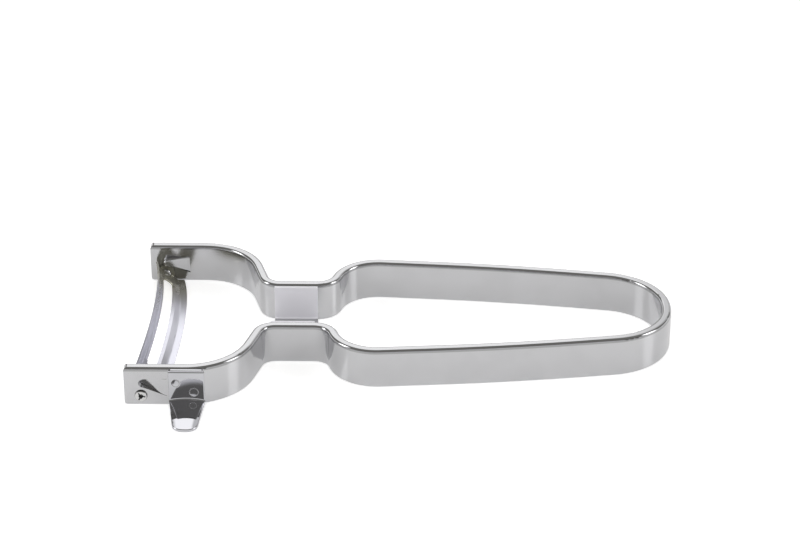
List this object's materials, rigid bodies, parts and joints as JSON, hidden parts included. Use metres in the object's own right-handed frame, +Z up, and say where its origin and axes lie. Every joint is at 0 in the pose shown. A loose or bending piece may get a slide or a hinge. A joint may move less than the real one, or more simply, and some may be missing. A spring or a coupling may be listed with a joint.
{
  "type": "vegetable peeler",
  "caption": "Stirrup-shaped metal vegetable peeler: a bent flat-strip handle loop whose arms hold a swivelling slotted blade, with an eye-remover tongue beside it.",
  "frame": {"origin": "centre of the bridge clip's underside, in the plane the peeler lies on", "axes": "+X from the blade towards the end of the handle loop, +Y across the head away from the arm with the eye remover, +Z up when the peeler lies flat"},
  "size_m": [0.1272, 0.0745, 0.0098],
  "materials": {
    "polished_strip": "polished flat strip with faint drawing lines",
    "clip_steel": "fine matte satin",
    "remover_steel": "polished sheet with two shallow weld dimples",
    "blade_steel": "bright rolled blade strip with ground bevels",
    "rivet_steel": "bright, punched over at the collar"
  },
  "bodies": {
    "frame": {"loop_frame": "polished_strip", "bridge_clip": "clip_steel", "eye_remover": "remover_steel", "pivot_rivets": "rivet_steel"},
    "blade": {"blade": "blade_steel"}
  },
  "joints": [
    {"name": "blade_swing", "type": "hinge", "parent": "frame", "child": "blade", "pos_m": [-0.0336, 0, 0.0025], "axis": [0, 1, 0], "range_deg": [-42, 21]}
  ]
}
